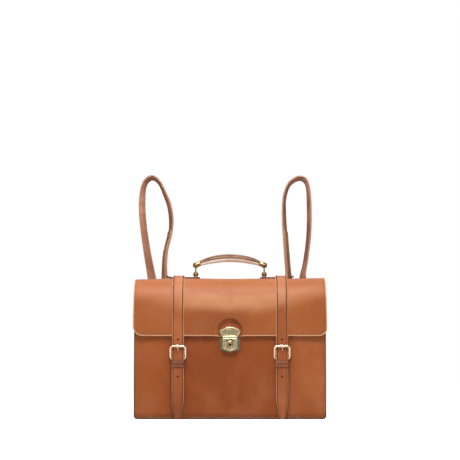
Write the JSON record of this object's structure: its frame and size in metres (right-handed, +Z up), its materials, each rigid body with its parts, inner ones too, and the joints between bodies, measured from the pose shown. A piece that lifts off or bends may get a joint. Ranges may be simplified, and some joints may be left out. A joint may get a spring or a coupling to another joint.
{
  "type": "leather briefcase",
  "caption": "Flap-over leather briefcase with press lock, buckled straps, arched top handle and backpack strap loops behind.",
  "frame": {"origin": "middle of the base panel's underside, on the surface the bag stands on", "axes": "+Z up, +X to the right seen from the front, front towards -Y"},
  "size_m": [0.394, 0.2095, 0.5191],
  "materials": {
    "tan_leather": "vegetable-tanned, patinated, satin",
    "strap_leather": "vegetable-tanned, waxed, pale cut edges",
    "natural_leather": "undyed, matte",
    "suede_lining": "suede, matte",
    "board": "matte",
    "brass": "polished, lightly worn",
    "antique_brass": "antique, satin",
    "steel": "satin"
  },
  "bodies": {
    "body": {"front_panel": "tan_leather", "back_panel": "tan_leather", "left_gusset": "tan_leather", "right_gusset": "tan_leather", "gusset_linings": "suede_lining", "base_panel": "tan_leather", "front_lining": "suede_lining", "back_lining": "suede_lining", "base_board": "board", "divider": "suede_lining", "slip_pocket": "suede_lining", "magnet_bases": "steel", "lock_base": "antique_brass", "lock_face": "antique_brass", "lock_backing": "steel", "lock_screws": "steel", "top_anchors": "tan_leather", "carry_strap_roots": "strap_leather", "carry_strap_legs": "strap_leather", "base_chapes": "tan_leather", "base_rings": "brass", "strap_studs": "brass"},
    "lock_latch": {"lock_latch": "steel"},
    "lock_button": {"lock_button": "antique_brass"},
    "lock_plug": {"lock_plug": "antique_brass"},
    "flap": {"flap_leather": "tan_leather", "flap_lining": "suede_lining", "ring_tabs": "tan_leather", "handle_brackets": "brass", "lower_pins": "steel", "lock_tab": "tan_leather", "hasp_plate": "antique_brass", "hasp_tongue": "antique_brass", "hasp_rivets": "antique_brass", "left_strap_upper": "strap_leather", "right_strap_upper": "strap_leather"},
    "handle_links": {"left_handle_link": "brass", "right_handle_link": "brass"},
    "handle": {"handle_grip": "strap_leather", "handle_underside": "natural_leather", "left_handle_end": "brass", "right_handle_end": "brass", "upper_pins": "steel"},
    "left_strap": {"left_strap_lower": "strap_leather", "left_buckle_frame": "brass", "left_chape": "strap_leather", "left_keeper": "strap_leather", "left_magnet_cap": "steel"},
    "right_strap": {"right_strap_lower": "strap_leather", "right_buckle_frame": "brass", "right_chape": "strap_leather", "right_keeper": "strap_leather", "right_magnet_cap": "steel"},
    "left_roller": {"left_buckle_roller": "brass"},
    "right_roller": {"right_buckle_roller": "brass"},
    "left_prong": {"left_buckle_prong": "brass"},
    "right_prong": {"right_buckle_prong": "brass"},
    "left_carry_loop": {"left_carry_loop": "strap_leather"},
    "right_carry_loop": {"right_carry_loop": "strap_leather"}
  },
  "joints": [
    {"name": "flap_open", "type": "hinge", "parent": "body", "child": "flap", "pos_m": [0, 0.0545, 0.2796], "axis": [-1, 0, 0], "range_deg": [0, 90]},
    {"name": "left_strap_lift", "type": "hinge", "parent": "flap", "child": "left_strap", "pos_m": [-0.1055, -0.0644, 0.204], "axis": [-1, 0, 0], "range_deg": [0, 120]},
    {"name": "left_roller_spin", "type": "hinge", "parent": "left_strap", "child": "left_roller", "pos_m": [-0.1055, -0.0671, 0.1472], "axis": [1, 0, 0], "continuous": true},
    {"name": "left_prong_tilt", "type": "hinge", "parent": "left_strap", "child": "left_prong", "pos_m": [-0.1055, -0.0584, 0.1215], "axis": [1, 0, 0], "range_deg": [0, 3]},
    {"name": "right_strap_lift", "type": "hinge", "parent": "flap", "child": "right_strap", "pos_m": [0.1055, -0.0644, 0.204], "axis": [-1, 0, 0], "range_deg": [0, 120]},
    {"name": "right_roller_spin", "type": "hinge", "parent": "right_strap", "child": "right_roller", "pos_m": [0.1055, -0.0671, 0.1472], "axis": [1, 0, 0], "continuous": true},
    {"name": "right_prong_tilt", "type": "hinge", "parent": "right_strap", "child": "right_prong", "pos_m": [0.1055, -0.0584, 0.1215], "axis": [1, 0, 0], "range_deg": [0, 3]},
    {"name": "handle_swing", "type": "hinge", "parent": "flap", "child": "handle_links", "pos_m": [0, -0.006, 0.296], "axis": [1, 0, 0], "range_deg": [-60, 60]},
    {"name": "handle_tilt", "type": "hinge", "parent": "handle_links", "child": "handle", "pos_m": [0, -0.006, 0.315], "axis": [1, 0, 0], "range_deg": [-30, 30]},
    {"name": "left_loop_fold", "type": "hinge", "parent": "body", "child": "left_carry_loop", "pos_m": [-0.144, 0.0634, 0.262], "axis": [-1, 0, 0], "range_deg": [0, 130]},
    {"name": "right_loop_fold", "type": "hinge", "parent": "body", "child": "right_carry_loop", "pos_m": [0.144, 0.0634, 0.262], "axis": [-1, 0, 0], "range_deg": [0, 130]},
    {"name": "lock_button_press", "type": "slide", "parent": "body", "child": "lock_button", "axis": [0, 1, 0], "range_m": [0, 0.0012], "stiffness_N_per_m": 300, "springref_m": -0.002},
    {"name": "lock_plug_turn", "type": "hinge", "parent": "lock_button", "child": "lock_plug", "pos_m": [0, -0.0625, 0.1505], "axis": [0, 1, 0], "range_deg": [0, 90]},
    {"name": "lock_latch_slide", "type": "slide", "parent": "body", "child": "lock_latch", "axis": [0, 0, -1], "range_m": [0, 0.002]}
  ],
  "couplings": [
    {"joint": "lock_latch_slide", "follows": "lock_button_press", "ratio": 1.6}
  ]
}
